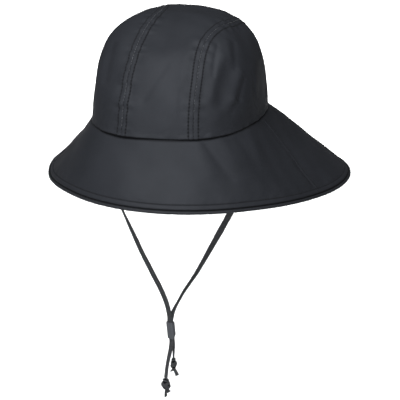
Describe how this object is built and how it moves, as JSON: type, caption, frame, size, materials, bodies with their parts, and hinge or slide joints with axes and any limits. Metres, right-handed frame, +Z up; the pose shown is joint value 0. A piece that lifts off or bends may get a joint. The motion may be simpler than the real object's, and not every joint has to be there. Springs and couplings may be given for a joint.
{
  "type": "sou'wester hat",
  "caption": "Waterproof cloth hat with a paneled crown, a bell brim that is longer at the back, and a chin strap with a slider and knotted ends.",
  "frame": {"origin": "middle of the head opening, on the seam between crown and brim, where the hat sits on the head", "axes": "+Z up, -Y to the front of the hat, +X to the wearer's left"},
  "size_m": [0.3159, 0.3377, 0.4092],
  "materials": {
    "coated_cloth": "smooth coated cloth with a soft sheen",
    "edge_piping": "coated binding",
    "strap_tape": "matt woven tape",
    "slider_leather": "smooth dark leather"
  },
  "bodies": {
    "root": {"crown_center_panel": "coated_cloth", "crown_side_left": "coated_cloth", "crown_side_right": "coated_cloth", "brim_front": "coated_cloth", "brim_back": "coated_cloth", "brim_piping": "edge_piping", "strap_left": "strap_tape", "strap_right": "strap_tape", "strap_slider": "slider_leather", "knot_left": "strap_tape", "knot_right": "strap_tape"}
  },
  "joints": []
}
